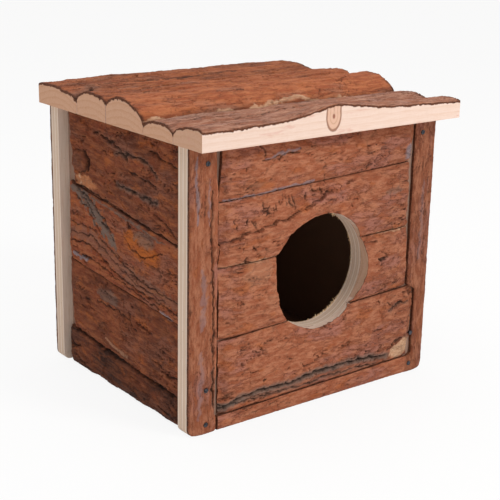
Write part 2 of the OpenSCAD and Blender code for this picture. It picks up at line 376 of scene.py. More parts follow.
def slab_piece(name, face, grid, shape, body, materials, cell, hole=None, centre_v=0.0, fresh=0.0):
    """A closed piece of bark or wood on a face. shape(u, v, s, t) gives its Surface, whose
    height is its thickness. The top takes the first material, and the cut walls the second."""
    u, v, share_u, share_v = (np.array(a) for a in grid)
    rows, cols = u.shape
    at = np.arange(rows * cols).reshape(rows, cols)
    quads = np.stack([at[:-1, :-1], at[:-1, 1:], at[1:, 1:], at[1:, :-1]], -1).reshape(-1, 4)
    u, v, share_u, share_v = u.ravel(), v.ravel(), share_u.ravel(), share_v.ravel()
    if hole:
        u, v, quads = cut_round(u, v, quads, hole[:2], hole[2], cell)
    used = np.unique(quads)
    renumber = np.full(rows * cols, -1)
    renumber[used] = np.arange(len(used))
    quads = renumber[quads]
    u, v, share_u, share_v = u[used], v[used], share_u[used], share_v[used]
    if hole:
        edges = edge_ends(quads)
    else:
        border = np.concatenate([at[0, :], at[1:, -1], at[-1, -2::-1], at[-2:0:-1, 0]])
        edges = list(zip(border.tolist(), np.roll(border, -1).tolist()))
    loops = loops_of(edges)
    surface = shape(u, v, share_u, share_v)
    height = np.maximum(surface.height, 0.35)

    points_u, points_v, points_w = [u], [v], [height]
    sources = [np.arange(len(u))]
    skin = [np.zeros(len(u))]
    faces = quads.tolist()
    count = len(u)
    wall_faces = []
    for loop in loops:
        ring = np.array(loop)
        above = ring
        for share in WALL_SHARES:
            layer = np.arange(count, count + len(ring))
            w = height[ring] * (1 - share)
            shake = 0.08 * fractal(u[ring] / 1.5 + v[ring] / 1.7, w / 1.5, 77, 3) * (share < 1)
            points_u.append(u[ring] + shake)
            points_v.append(v[ring] + shake)
            points_w.append(w)
            sources.append(ring)
            skin.append(height[ring] * share)
            count += len(ring)
            a, b = above, layer
            wall_faces += np.stack([a, b, np.roll(b, -1), np.roll(a, -1)], -1).tolist()
            above = layer
        loop[:] = above.tolist()
    all_u, all_v, all_w = (np.concatenate(p) for p in (points_u, points_v, points_w))
    source = np.concatenate(sources)
    back = [[Vector((all_u[k], all_v[k], 0)) for k in loop] for loop in loops]
    flat = [k for loop in loops for k in loop]
    back_faces = []
    for tri in tessellate_polygon(back):
        a, b, c = (flat[k] for k in tri)
        cross = (all_u[b] - all_u[a]) * (all_v[c] - all_v[a]) - (all_v[b] - all_v[a]) * (all_u[c] - all_u[a])
        back_faces.append((a, c, b) if cross > 0 else (a, b, c))

    origin, du, dv, dw = FACES[face]
    points = origin + np.outer(all_u, du) + np.outer(all_v, dv) + np.outer(all_w, dw)
    piece = link_mesh(name, points, faces + wall_faces + back_faces, materials, body, [name])
    mesh = piece.data
    index = np.zeros(len(mesh.polygons), np.int32)
    index[len(faces):] = 1
    mesh.polygons.foreach_set("material_index", index)
    mesh.polygons.foreach_set("use_smooth", np.ones(len(mesh.polygons), bool))
    mesh.set_sharp_from_angle(angle=math.radians(50))
    grain = np.stack([all_u, all_v - centre_v, all_w], -1)
    store(mesh, "grain_mm", "FLOAT_VECTOR", "vector", grain)
    store(mesh, "skin_depth", "FLOAT", "value", np.concatenate(skin))
    # The hole's wall, and the roof's walls, are shown pale; other cut walls get the sawn material's painted gap shade.
    if hole:
        gap = np.hypot(all_u - hole[0], all_v - hole[1])
        fresh = 1 - smooth(gap, hole[2] + 1.0, hole[2] + 1.6)
    store(mesh, "fresh_cut", "FLOAT", "value", fresh + all_u * 0)
    for channel in CHANNELS:
        store(mesh, channel, "FLOAT", "value", getattr(surface, channel)[source])
    return piece


def store(mesh, name, kind, field, values):
    attribute = mesh.attributes.new(name, kind, "POINT")
    attribute.data.foreach_set(field, np.ascontiguousarray(values, np.float32).ravel())


# ---------------------------------------------------------------- materials


def colour(hex_code):
    """An sRGB hex colour as linear RGBA."""
    parts = [int(hex_code[k : k + 2], 16) / 255 for k in (1, 3, 5)]
    return (*[p / 12.92 if p <= 0.04045 else ((p + 0.055) / 1.055) ** 2.4 for p in parts], 1.0)


def add(tree, kind, inputs=(), **settings):
    """Adds a node with its settings, and sets or links its inputs."""
    node = tree.nodes.new(kind)
    for key, value in settings.items():
        setattr(node, key, value)
    for key, value in dict(inputs).items():
        if isinstance(value, bpy.types.NodeSocket):
            tree.links.new(value, node.inputs[key])
        else:
            node.inputs[key].default_value = value
    return node


def new_material(name):
    material = bpy.data.materials.new(name)
    material.use_nodes = True
    tree = material.node_tree
    tree.nodes.clear()
    shader = add(tree, "ShaderNodeBsdfPrincipled", {"Roughness": 0.85, "Specular IOR Level": 0.25})
    output = add(tree, "ShaderNodeOutputMaterial", {"Surface": shader.outputs[0]})
    output.location = (400, 0)
    return material, tree, shader


def mixed(tree, share, first, second, mode="MIX"):
    """The first colour with a share of the second laid over it."""
    node = add(tree, "ShaderNodeMix", {0: share, 6: first, 7: second}, data_type="RGBA", blend_type=mode)
    return node.outputs[2]


def worked(tree, operation, first, second=0.0):
    return add(tree, "ShaderNodeMath", {0: first, 1: second}, operation=operation, use_clamp=False).outputs[0]


def ranged(tree, value, low, high, out_low=0.0, out_high=1.0):
    inputs = {0: value, 1: low, 2: high, 3: out_low, 4: out_high}
    return add(tree, "ShaderNodeMapRange", inputs, interpolation_type="SMOOTHSTEP").outputs[0]


def channel(tree, name):
    return add(tree, "ShaderNodeAttribute", attribute_name=name).outputs["Fac"]


def grain_place(tree, lengths, turn=0.0):
    """The piece's own grain coordinates, divided by a length in millimetres on each axis."""
    place = add(tree, "ShaderNodeAttribute", attribute_name="grain_mm").outputs["Vector"]
    scale = [1 / length for length in lengths]
    inputs = {"Vector": place, "Scale": scale, "Rotation": (0, 0, math.radians(turn))}
    return add(tree, "ShaderNodeMapping", inputs, vector_type="POINT").outputs[0]


def noise_node(tree, place, detail=4.0, rough=0.55):
    inputs = {"Vector": place, "Scale": 1.0, "Detail": detail, "Roughness": rough}
    return add(tree, "ShaderNodeTexNoise", inputs).outputs["Fac"]


def wood_colour(tree, light, dark, ring_mm, pith_mm):
    """Pale wood with year rings about a pith that runs along the grain, below the piece."""
    place = add(tree, "ShaderNodeAttribute", attribute_name="grain_mm").outputs["Vector"]
    bend = noise_node(tree, grain_place(tree, (60, 9, 9)), 3)
    parts = add(tree, "ShaderNodeSeparateXYZ", {0: place})
    up = worked(tree, "ADD", parts.outputs[2], pith_mm)
    across = worked(tree, "POWER", parts.outputs[1], 2.0)
    radius = worked(tree, "SQRT", worked(tree, "ADD", across, worked(tree, "POWER", up, 2.0)))
    radius = worked(tree, "ADD", radius, worked(tree, "MULTIPLY", bend, 2.4))
    ring = worked(tree, "FRACT", worked(tree, "DIVIDE", radius, ring_mm))
    late = worked(tree, "POWER", ring, 3.0)
    fibre = noise_node(tree, grain_place(tree, (9, 0.45, 0.45)), 3, 0.6)
    share = worked(tree, "ADD", worked(tree, "MULTIPLY", late, 0.38), ranged(tree, fibre, 0.35, 0.8, 0, 0.5))
    return mixed(tree, share, light, dark), fibre


def bark_material(name, base, light, dark, mauve, warm, length=7.0):
    """Conifer bark: matt, with painted shade in its cracks, orange inner bark and mauve weathered flakes."""
    material, tree, shader = new_material(name)
    broad = noise_node(tree, grain_place(tree, (24, 9, 9)), 3)
    medium = noise_node(tree, grain_place(tree, (length, 2.0, 2.0), 4), 5, 0.72)
    fine = noise_node(tree, grain_place(tree, (0.28 * length, 0.5, 0.5), -12), 4, 0.75)
    speck = noise_node(tree, grain_place(tree, (0.8, 0.45, 0.45)), 2, 0.6)
    tone = mixed(tree, ranged(tree, medium, 0.38, 0.66), base, light)
    tone = mixed(tree, ranged(tree, broad, 0.36, 0.22, 0, 0.5), tone, dark)
    mauve_share = worked(tree, "MULTIPLY", ranged(tree, broad, 0.5, 0.68), ranged(tree, medium, 0.35, 0.6, 0.2, 0.7))
    tone = mixed(tree, mauve_share, tone, mauve)
    warm_share = worked(tree, "MULTIPLY", channel(tree, "warm"), ranged(tree, medium, 0.3, 0.55, 0.4, 1))
    tone = mixed(tree, warm_share, tone, warm)
    grey_share = worked(tree, "MULTIPLY", channel(tree, "grey"), ranged(tree, fine, 0.25, 0.6, 0.45, 1))
    tone = mixed(tree, grey_share, tone, colour("#7A6A60"))
    tone = mixed(tree, ranged(tree, fine, 0.55, 0.78, 0, 0.6), tone, light)
    tone = mixed(tree, ranged(tree, fine, 0.46, 0.28, 0, 0.85), tone, dark)
    tone = mixed(tree, ranged(tree, speck, 0.36, 0.24, 0, 0.7), tone, dark)
    hair = worked(tree, "ABSOLUTE", worked(tree, "SUBTRACT", medium, 0.47))
    hair = worked(tree, "MULTIPLY", ranged(tree, hair, 0.0, 0.012, 0.8, 0), ranged(tree, broad, 0.46, 0.56))
    tone = mixed(tree, hair, tone, dark)
    # The dark channel: each slab's own darker tone, and on the roof also painted shade towards its seams.
    dark_share = worked(tree, "MULTIPLY", channel(tree, "dark"), ranged(tree, medium, 0.3, 0.65, 1.1, 0.75))
    tone = mixed(tree, dark_share, tone, colour("#381B0E"))
    pale = mixed(tree, ranged(tree, fine, 0.35, 0.7), colour("#DDB594"), colour("#B8835F"))
    tone = mixed(tree, channel(tree, "bare"), tone, pale)
    glue = channel(tree, "glue")
    tone = mixed(tree, worked(tree, "MULTIPLY", glue, 0.85), tone, colour("#8E7C80"))
    # Painted shade: cracks, pits, plate gaps and seams darkened towards near black.
    crevice = worked(tree, "MULTIPLY", channel(tree, "crevice"), ranged(tree, fine, 0.2, 0.6, 1, 0.75))
    tone = mixed(tree, crevice, tone, colour("#1C100B"))
    rise = worked(tree, "ADD", worked(tree, "MULTIPLY", medium, 0.8), worked(tree, "MULTIPLY", fine, 0.9))
    rise = worked(tree, "SUBTRACT", rise, worked(tree, "MULTIPLY", hair, 0.5))
    bump = add(tree, "ShaderNodeBump", {"Strength": 0.9, "Distance": 0.6 * MM, "Height": rise})
    rough = ranged(tree, glue, 0, 1, 0.85, 0.3)
    for key, value in {"Base Color": tone, "Normal": bump.outputs[0], "Roughness": rough}.items():
        tree.links.new(value, shader.inputs[key])
    return material


def sawn_material(name, light, dark, end, skin_mm=1.2, knotty=False):
    """Sawn softwood under bark: pale, fuzzy from the saw, with a brown skin along its bark edge.
    Where a cut is not shown pale, its walls take the bark's brown as painted shade in the narrow gaps between slabs."""
    material, tree, shader = new_material(name)
    tone, fibre = wood_colour(tree, light, dark, 3.1, 34)
    facing = add(tree, "ShaderNodeSeparateXYZ", {0: add(tree, "ShaderNodeNewGeometry").outputs["Normal"]})
    across = ranged(tree, worked(tree, "ABSOLUTE", facing.outputs[0]), 0.6, 0.85)
    tone = mixed(tree, worked(tree, "MULTIPLY", across, 0.9), tone, end, "MULTIPLY")
    fuzz = noise_node(tree, grain_place(tree, (0.8, 0.8, 0.8)), 4, 0.75)
    tone = mixed(tree, ranged(tree, fuzz, 0.52, 0.75, 0, 0.45), tone, dark)
    if knotty:
        tone = knot_colour(tree, tone)
    # This brown is the bark skin along the top edge, and also the painted shade on walls in the gaps between slabs.
    skin = mixed(tree, ranged(tree, fuzz, 0.35, 0.65), colour("#40241A"), colour("#7A4830"))
    ragged = noise_node(tree, grain_place(tree, (3, 3, 3)), 4, 0.75)
    edge = worked(tree, "ADD", channel(tree, "skin_depth"), worked(tree, "MULTIPLY", ragged, -2 * skin_mm))
    tone = mixed(tree, ranged(tree, edge, 0.1, -0.2), tone, skin)
    # Cut walls not shown pale take the brown: painted shade in the narrow gaps between slabs.
    tone = mixed(tree, channel(tree, "fresh_cut"), skin, tone)
    bump = add(tree, "ShaderNodeBump", {"Strength": 0.5, "Distance": 0.25 * MM, "Height": fuzz})
    for key, value in {"Base Color": tone, "Normal": bump.outputs[0]}.items():
        tree.links.new(value, shader.inputs[key])
    return material


def knot_colour(tree, tone):
    """The knot in the roof's front edge: a brown horseshoe, open upwards, round a pinkish core."""
    place = add(tree, "ShaderNodeAttribute", attribute_name="grain_mm").outputs["Vector"]
    parts = add(tree, "ShaderNodeSeparateXYZ", {0: place})
    shake = noise_node(tree, grain_place(tree, (4, 4, 4)), 3)
    u = worked(tree, "DIVIDE", worked(tree, "ADD", parts.outputs[0], 4.8), 4.1)
    w = worked(tree, "DIVIDE", worked(tree, "SUBTRACT", parts.outputs[2], 8.4), 6.4)
    w = worked(tree, "MINIMUM", w, 0.2)
    r = worked(tree, "SQRT", worked(tree, "ADD", worked(tree, "POWER", u, 2.0), worked(tree, "POWER", w, 2.0)))
    r = worked(tree, "ADD", r, worked(tree, "MULTIPLY", shake, 0.16))
    rim = worked(tree, "ABSOLUTE", worked(tree, "SUBTRACT", r, 1.06))
    tone = mixed(tree, ranged(tree, r, 1.1, 0.95, 0, 0.75), tone, colour("#DDAE92"))
    tone = mixed(tree, ranged(tree, rim, 0.04, 0.15, 0.8, 0), tone, colour("#8A563C"))
    rings = worked(tree, "PINGPONG", worked(tree, "MULTIPLY", r, 5.0), 1.0)
    tone = mixed(tree, worked(tree, "MULTIPLY", ranged(tree, r, 1.0, 0.9), ranged(tree, rings, 0.6, 1, 0, 0.35)), tone, colour("#A8714F"))
    core = mixed(tree, ranged(tree, shake, 0.4, 0.6), colour("#A5563F"), colour("#7C4030"))
    tone = mixed(tree, ranged(tree, r, 0.34, 0.18, 0, 0.8), tone, core)
    stain = noise_node(tree, grain_place(tree, (13, 3, 3)), 3)
    return mixed(tree, ranged(tree, stain, 0.6, 0.72, 0, 0.4), tone, colour("#D99F8C"))


def plywood_material(name, axis, start, ply_mm, along_axis, glued):
    """Birch-type plywood: thin cream and tan layers on the edges, straight grain on the faces.
    The face that the bark is glued to is brown: glue stain, with painted shade where it shows in the gaps between the
    bark slabs."""
    material, tree, shader = new_material(name)
    place = add(tree, "ShaderNodeTexCoord").outputs["Object"]
    inputs = {"Vector": place, "Scale": (1 / MM,) * 3}
    place = add(tree, "ShaderNodeMapping", inputs).outputs[0]
    parts = add(tree, "ShaderNodeSeparateXYZ", {0: place})
    scale = [1 / 0.5] * 3
    scale["XYZ".index(along_axis)] = 1 / 11
    long_place = add(tree, "ShaderNodeMapping", {"Vector": place, "Scale": scale}).outputs[0]
    fibre = noise_node(tree, long_place, 4, 0.6)
    waver = noise_node(tree, add(tree, "ShaderNodeMapping", {"Vector": place, "Scale": (0.05,) * 3}).outputs[0], 2)
    depth = worked(tree, "SUBTRACT", parts.outputs["XYZ".index(axis)], start)
    depth = worked(tree, "ADD", depth, worked(tree, "MULTIPLY", waver, 0.5))
    layer = worked(tree, "DIVIDE", depth, ply_mm)
    ring = worked(tree, "FRACT", layer)
    glue = worked(tree, "SUBTRACT", 1.0, ranged(tree, worked(tree, "ABSOLUTE", worked(tree, "SUBTRACT", ring, 0.5)), 0.34, 0.5, 1, 0))
    cream, tan, line = colour("#EED9C8"), colour("#D9B99C"), colour("#A27C5E")
    every_other = worked(tree, "PINGPONG", worked(tree, "FLOOR", layer), 1.0)
    tone = mixed(tree, worked(tree, "MULTIPLY", every_other, 0.55), cream, tan)
    tone = mixed(tree, ranged(tree, fibre, 0.4, 0.75, 0, 0.5), tone, tan)
    tone = mixed(tree, worked(tree, "MULTIPLY", glue, 0.55), tone, line)
    speck = noise_node(tree, add(tree, "ShaderNodeMapping", {"Vector": place, "Scale": (0.9,) * 3}).outputs[0], 2)
    tone = mixed(tree, ranged(tree, speck, 0.7, 0.76, 0, 0.7), tone, line)
    # The glued face is brown: glue stain, and painted shade where it shows in the gaps between the bark slabs.
    outer = worked(tree, "ABSOLUTE", worked(tree, "SUBTRACT", parts.outputs["XYZ".index(axis)], glued))
    tone = mixed(tree, ranged(tree, outer, 0.0, 0.05, 0.8, 0), tone, colour("#7E5440"))
    # Painted shade on the faces inside the nest room.
    tone = mixed(tree, room_shade_share(tree, parts), tone, colour("#8C6A54"))
    rise = worked(tree, "SUBTRACT", fibre, worked(tree, "MULTIPLY", glue, 0.6))
    bump = add(tree, "ShaderNodeBump", {"Strength": 0.45, "Distance": 0.2 * MM, "Height": rise})
    for key, value in {"Base Color": tone, "Normal": bump.outputs[0]}.items():
        tree.links.new(value, shader.inputs[key])
    return material


def room_shade_share(tree, parts):
    """1 on the faces that line the nest room, which are given painted shade, and 0 outside it."""
    lows = (LEFT_HIGH[0], FRONT_HIGH[1], 0.0)
    highs = (RIGHT_LOW[0], BACK_LOW[1], BODY_H)
    share = 1.0
    for k in range(3):
        middle = (lows[k] + highs[k]) / 2
        reach = (highs[k] - lows[k]) / 2 + 0.02
        gap = worked(tree, "ABSOLUTE", worked(tree, "SUBTRACT", parts.outputs[k], middle))
        share = worked(tree, "MULTIPLY", worked(tree, "LESS_THAN", gap, reach), share)
    return share


def batten_material():
    """Planed spruce: straight, faint grain along its length."""
    material, tree, shader = new_material("planed_spruce")
    place = add(tree, "ShaderNodeTexCoord").outputs["Object"]
    inputs = {"Vector": place, "Scale": (1 / (1.1 * MM), 1 / (40 * MM), 1 / (1.1 * MM))}
    grain = noise_node(tree, add(tree, "ShaderNodeMapping", inputs).outputs[0], 4, 0.6)
    tone = mixed(tree, ranged(tree, grain, 0.35, 0.7), colour("#E3C8A4"), colour("#C79F74"))
    bump = add(tree, "ShaderNodeBump", {"Strength": 0.3, "Distance": 0.2 * MM, "Height": grain})
    for key, value in {"Base Color": tone, "Normal": bump.outputs[0]}.items():
        tree.links.new(value, shader.inputs[key])
    return material


def brad_material():
    """Bright drawn steel, a little scuffed by the gun that drove it."""
    material, tree, shader = new_material("bright_steel")
    place = add(tree, "ShaderNodeTexCoord").outputs["Object"]
    scuff = noise_node(tree, add(tree, "ShaderNodeMapping", {"Vector": place, "Scale": (1400,) * 3}).outputs[0], 3)
    tone = mixed(tree, ranged(tree, scuff, 0.4, 0.7), colour("#55555A"), colour("#2E2E32"))
    shader.inputs["Metallic"].default_value = 1.0
    tree.links.new(tone, shader.inputs["Base Color"])
    tree.links.new(ranged(tree, scuff, 0.3, 0.7, 0.3, 0.55), shader.inputs["Roughness"])
    return material


MATERIALS = {}


def material(name):
    """Each finish is made once, the first time that a piece asks for it."""
    makers = {
        "front_bark": lambda: bark_material(
            "pine_bark_terracotta", colour("#A15A3C"), colour("#BE7C5C"), colour("#562A1B"),
            colour("#A86E62"), colour("#B4602C"),
        ),
        "side_bark": lambda: bark_material(
            "pine_bark_umber", colour("#984C2E"), colour("#B0663F"), colour("#412012"),
            colour("#96604E"), colour("#BC6428"), 11.0,
        ),
        "roof_bark": lambda: bark_material(
            "pine_bark_orange", colour("#9C5232"), colour("#BC724A"), colour("#4A2617"),
            colour("#A06C56"), colour("#A85C30"), 13.0,
        ),
        "eave_bark": lambda: bark_material(
            "pine_bark_mauve", colour("#9A614A"), colour("#B98870"), colour("#55301F"),
            colour("#AC8072"), colour("#A8623C"), 12.0,
        ),
        "sawn_end": lambda: sawn_material("sawn_pine", colour("#F0D4C4"), colour("#D8AC8C"), colour("#E6CAB2")),
        "hole_cut": lambda: sawn_material(
            "sawn_pine_thin_skin", colour("#EBD3C3"), colour("#CFA88A"), colour("#F0DCCC"), 0.3,
        ),
        "sawn_eave": lambda: sawn_material(
            "sawn_pine_with_knot", colour("#F0D6C8"), colour("#E2BEA6"), colour("#E4C8B0"), 1.0, True,
        ),
        "front_ply": lambda: plywood_material("birch_ply_front", "Y", FRONT_LOW[1], 1.4, "Z", FRONT_LOW[1]),
        "back_ply": lambda: plywood_material("birch_ply_back", "Y", BACK_LOW[1], 1.4, "Z", BACK_HIGH[1]),
        "left_ply": lambda: plywood_material("birch_ply_left", "X", LEFT_LOW[0], 1.4, "Y", LEFT_LOW[0]),
        "right_ply": lambda: plywood_material("birch_ply_right", "X", RIGHT_LOW[0], 1.4, "Y", RIGHT_HIGH[0]),
        "floor_ply": lambda: plywood_material("birch_ply_floor", "Z", 0.3, 1.0, "X", 0.3),
        "batten": batten_material,
        "steel": brad_material,
    }
    if name not in MATERIALS:
        MATERIALS[name] = makers[name]()
    return MATERIALS[name]


# ---------------------------------------------------------------- marks on each face


def front_marks(s):
    """The cracks, ledges and broken places of the front's bark."""
    crack(s, [(-60.6, 113), (-61.7, 92), (-61.4, 82), (-60.2, 70), (-60.0, 45), (-59.6, 12)], 0.75, 0.8)
    streak(s, [(-69.5, 128), (-69.3, 112), (-68.6, 98)], 1.5, 0.0, glue=0.8)
    streak(s, [(-63, 118), (-62.6, 98)], 1.1, 0.0, glue=0.6)
    streak(s, [(-66, 78), (-65, 62), (-66.5, 50)], 4.0, 0.0, glue=0.45)
    streak(s, [(-67, 40), (-66.4, 26), (-67.5, 8)], 3.0, 0.0, glue=0.4)
    streak(s, [(66, 100), (65.5, 60)], 2.5, 0.0, glue=0.3)
    crack(s, [(-60.5, 30), (-59, 12)], 0.8, 1.0, grey=0.4)
    streak(s, [(-34, 123.6), (-24, 125), (-14, 126)], 1.7, 0.25, glue=0.9)
    crack(s, [(-36, 122.8), (-24, 124), (-15, 125)], 0.5, 0.4)
    crack(s, [(-37, 130), (-34.5, 127.5), (-35, 124.5)], 0.7, 0.6)
    streak(s, [(-55, 106.6), (-43, 107.2), (-26, 108), (-12, 109)], 1.7, 0.45, glue=1.0)
    streak(s, [(-11.5, 108.9), (-8, 109.2), (-5.5, 109.6)], 3.0, 0.7, glue=1.0)
    patch(s, (54, 116.5), (3.6, 4.6), 10, rise=0.7, glue=1.0)
    streak(s, [(55, 112.5), (57.5, 112)], 2.0, 0.5, glue=1.0)
    streak(s, [(-57, 76.9), (-40, 77.0), (-22, 77.2)], 0.6, bare=0.6)
    streak(s, [(32, 77.6), (45, 77.8), (57, 78.2)], 0.9, bare=0.8)
    patch(s, (38, 65.2), (1.7, 1.2), 20, rise=-0.7, crevice=1.0)
    patch(s, (41.2, 66.8), (0.8, 0.7), 0, rise=-0.5, crevice=1.0)
    pick = np.random.default_rng(8)
    for _ in range(26):
        u = pick.uniform(-54, 5)
        v = 89.5 + 0.23 * (u + 54) + pick.uniform(0, 7)
        reach, lean = pick.uniform(1.2, 4.6), pick.uniform(-2.2, 1.4)
        crack(s, [(u, v), (u + 0.6 * lean, v + 0.5 * reach), (u + lean, v + reach)], pick.uniform(0.3, 0.6), 0.45)
    s.add("dark", 0.16 * smooth(s.u, 5, 50) + 0.2 * smooth(np.abs(s.u), 57, 61))
    ledge(s, [(3, 102.5), (-9, 98.5), (-19, 95), (-38, 91.5), (-57, 88)], 1.5, 9)
    crack(s, [(-57, 9), (-46, 13), (-35.5, 14.4), (-14, 13.4), (0, 15.4), (19.5, 15.6), (33, 14.8), (47, 12.5)], 1.5, 1.4, grey=0.9)
    crack(s, [(-56, 11), (-35, 11), (-8, 10.2), (14, 11.5), (40, 10)], 0.7, 0.7, grey=0.5)
    patch(s, (57, 14.5), (8.5, 5.5), 15, rise=-0.8, bare=1.0)
    crack(s, [(47, 16), (52, 19.5), (58, 21.5)], 0.8, 0.9)
    crack(s, [(46.5, 37), (54, 40), (60, 39)], 0.6, 0.6, grey=0.5)
    crack(s, [(35.5, 66), (37.5, 64), (40, 64.5), (41.5, 66.5)], 0.9, 0.8)
    crack(s, [(27.5, 50), (31, 50.6)], 0.6, 0.5)
    crack(s, [(40, 46.8), (47, 47.3), (57, 47.6)], 0.5, 0.5)
    patch(s, (-31.8, 19.4), (0.9, 0.8), 0, rise=-0.5, crevice=1.0)
    patch(s, (55.4, 28.8), (0.8, 0.7), 0, rise=-0.4, crevice=0.9)
    patch(s, (-41.7, 38.7), (0.7, 0.6), 0, rise=-0.3, crevice=0.7)
    patch(s, (-37, 72), (9, 6), 10, rise=0.6, bare=0.18)
    patch(s, (-29, 57), (4, 5), 20, rise=0.9, bare=0.1)
    patch(s, (38, 88), (11, 6), 8, rise=0.3)
    patch(s, (45, 98.5), (6, 1.5), 8, rise=0.3, grey=0.45)
    crack(s, [(-43, 80.5), (-42, 78)], 0.9, 0.7)
    crack(s, [(-40, 84.5), (-37.5, 82)], 0.8, 0.6)


def left_marks(s):
    """The knots, grey streaks and open cracks of the left side's bark."""
    knot(s, (-36.4, 108), (8.5, 5.5), 5, 1.0)
    crack(s, [(-31, 113.5), (-27.2, 109.5), (-27.6, 104.5)], 2.2, 1.4)
    patch(s, (-32, 98.8), (13, 3.2), -3, rise=-0.3, bare=0.3, warm=1.0)
    patch(s, (-35.7, 100.2), (1.5, 1.2), 0, bare=0.6)
    patch(s, (-35.9, 97.4), (1.5, 1.1), 0, bare=0.6)
    crack(s, [(-45, 95.8), (-20, 94.2), (0, 91.5), (22, 88.6), (51, 85)], 0.9, 0.9, grey=0.2)
    streak(s, [(-44, 94), (-34, 92), (-26, 87.5), (-16, 82), (-8, 77), (-2, 73)], 9.5, 0.3, grey=1.0)
    crack(s, [(-42, 95), (-32, 92.5), (-22, 88), (-12, 83.5), (-3, 76)], 0.7, 1.0)
    crack(s, [(-40, 90.5), (-30, 87), (-21, 81), (-14, 75.5)], 0.7, 1.1)
    crack(s, [(-35, 92), (-27, 88), (-20, 83)], 0.5, 0.8)
    crack(s, [(-14, 82.5), (-9, 80)], 1.6, 1.3)
    streak(s, [(-46, 72), (-22, 72), (4, 63), (50, 58)], 13, grey=0.35)
    streak(s, [(-30, 92), (-5, 90), (15, 87.5), (38, 84)], 1.3, 0.4, grey=0.8)
    crack(s, [(-46, 76), (-24, 77), (-2, 68), (20, 62), (50, 60)], 0.6, 0.5)
    crack(s, [(-46, 71), (-24, 73), (-4, 65), (14, 60), (44, 57)], 0.5, 0.5)
    streak(s, [(-44, 60.5), (-36, 59.5), (-28, 60)], 2.2, 0.5, glue=1.0)
    streak(s, [(33, 52.6), (38, 51.4), (44, 50.6)], 1.8, 0.5, glue=1.0)
    patch(s, (20, 78), (17, 6.5), -12, rise=0.4, warm=1.0)
    patch(s, (22, 82.5), (9, 4), -6, rise=-0.4, grey=0.7)
    patch(s, (9, 86), (1.8, 2.6), 20, rise=-1.0, crevice=1.0)
    crack(s, [(5, 80), (12, 76), (24, 74), (37, 80)], 0.8, 0.6)
    crack(s, [(-50, 66), (-28, 68.5), (-5, 60), (18, 56.5), (50, 54)], 0.9, 0.8)
    crack(s, [(-50, 62), (-20, 60.5), (8, 55.5), (34, 52)], 0.7, 0.6)
    crack(s, [(-22, 124.5), (-4, 122.5), (4, 120), (9, 116.5)], 1.3, 1.1, grey=0.2)
    crack(s, [(-2, 118), (12, 119.5), (26, 119), (33, 114)], 1.0, 0.9, grey=0.5)
    crack(s, [(27, 124), (38, 122), (50, 120.5)], 1.2, 1.0)
    crack(s, [(0, 104), (14, 103), (34, 102)], 1.1, 0.8, grey=0.7)
    crack(s, [(10, 112), (22, 110.5), (34, 110)], 0.8, 0.6)
    crack(s, [(30, 97), (42, 92), (51, 87)], 1.0, 0.7)
    patch(s, (-10, 46), (11, 4), 0, rise=0.4, grey=0.65)
    streak(s, [(-14, 24), (-4, 21.5), (6, 20)], 2.0, 0.2, bare=0.4)
    crack(s, [(-20, 41), (-2, 41.5), (10, 40)], 0.8, 0.6)
    crack(s, [(8, 44), (10, 38), (16, 36)], 0.8, 0.6)
    crack(s, [(-46, 19.6), (-20, 18), (10, 16), (51, 14)], 1.6, 1.5)
    crack(s, [(-50, 12), (-36, 11.6)], 1.0, 1.0)
    crack(s, [(34, 6), (42, 4)], 1.3, 1.0)
    crack(s, [(40, 23), (51, 23.5)], 0.9, 0.8)


def scattered_marks(s, seed, half_width, count=16):
    """Cracks and a knot where chance puts them, for a face like its neighbours."""
    pick = np.random.default_rng(seed)
    for _ in range(count):
        u, v = pick.uniform(-half_width, half_width), pick.uniform(6, BODY_H - 8)
        reach, slope = pick.uniform(6, 18), pick.uniform(-0.12, 0.12)
        points = [(u - reach, v - slope * reach), (u, v + pick.uniform(-1, 1)), (u + reach, v + slope * reach)]
        crack(s, points, pick.uniform(0.6, 1.3), pick.uniform(0.5, 1.1), grey=pick.uniform(0, 0.7))
    knot(s, (pick.uniform(-30, 30), pick.uniform(35, 100)), (6.5, 4.5), 8, 0.9)


def right_marks(s):
    scattered_marks(s, 12, 46)
    patch(s, (18, 52), (14, 5), 6, rise=0.3, warm=0.9)


def back_marks(s):
    scattered_marks(s, 21, 52)
    patch(s, (-22, 84), (12, 5), -5, rise=0.3, warm=0.7)


def roof_marks(s):
    """The pits, splinters and open seams of the roof's bark. Here v runs from front to back."""
    streak(s, [(-75, -28.2), (-20, -28.6), (0, -26.8), (12, -25.6), (24, -28.4), (75, -28.8)], 1.9, 0.4, bare=0.75)
    patch(s, (-38, -33), (2.4, 0.8), 18, rise=0.5, bare=1.0)
    patch(s, (-46, 15), (16, 3.2), 2, rise=-1.2, grey=0.5)
    streak(s, [(-62, 24), (-30, 22), (10, 23), (50, 24)], 2.0, 0.0, grey=0.5)
    streak(s, [(-70, 4), (-40, 5), (-5, 4.5), (30, 5)], 1.6, -0.3, dark=0.7)
    streak(s, [(-55, 44), (-20, 42), (30, 45)], 3.0, -0.3, dark=0.6)
    crack(s, [(-9, 19), (0, 17), (8, 20.5), (12, 17.5)], 2.4, 1.8)
    crack(s, [(-38, 17), (-30, 15.5), (-24, 17)], 2.2, 1.3)
    crack(s, [(-30, 51), (-26, 54)], 2.6, 1.6)
    crack(s, [(-75, 31), (-66, 34), (-60, 41)], 3.0, 1.5, grey=0.5)
    crack(s, [(-40, -48), (-20, -46), (-2, -43), (8, -42)], 0.8, 0.5)
    patch(s, (-50, -37), (20, 5), 4, grey=0.25)
    patch(s, (10, -33), (22, 3), -3, grey=0.4, rise=0.3)
    crack(s, [(22, 12), (28, 15)], 1.2, 1.0)
    crack(s, [(30, -6), (36, -8)], 1.4, 0.9)


# ---------------------------------------------------------------- bark pieces


def edge_line(first, last, shake, size, seed):
    """A nearly straight edge from one value to another, with a natural waver."""
    def line(share):
        waver = shake * fractal(share * abs(size) + seed, share * 0 + seed * 0.37, seed, 3)
        return first + (last - first) * share + waver
    return line


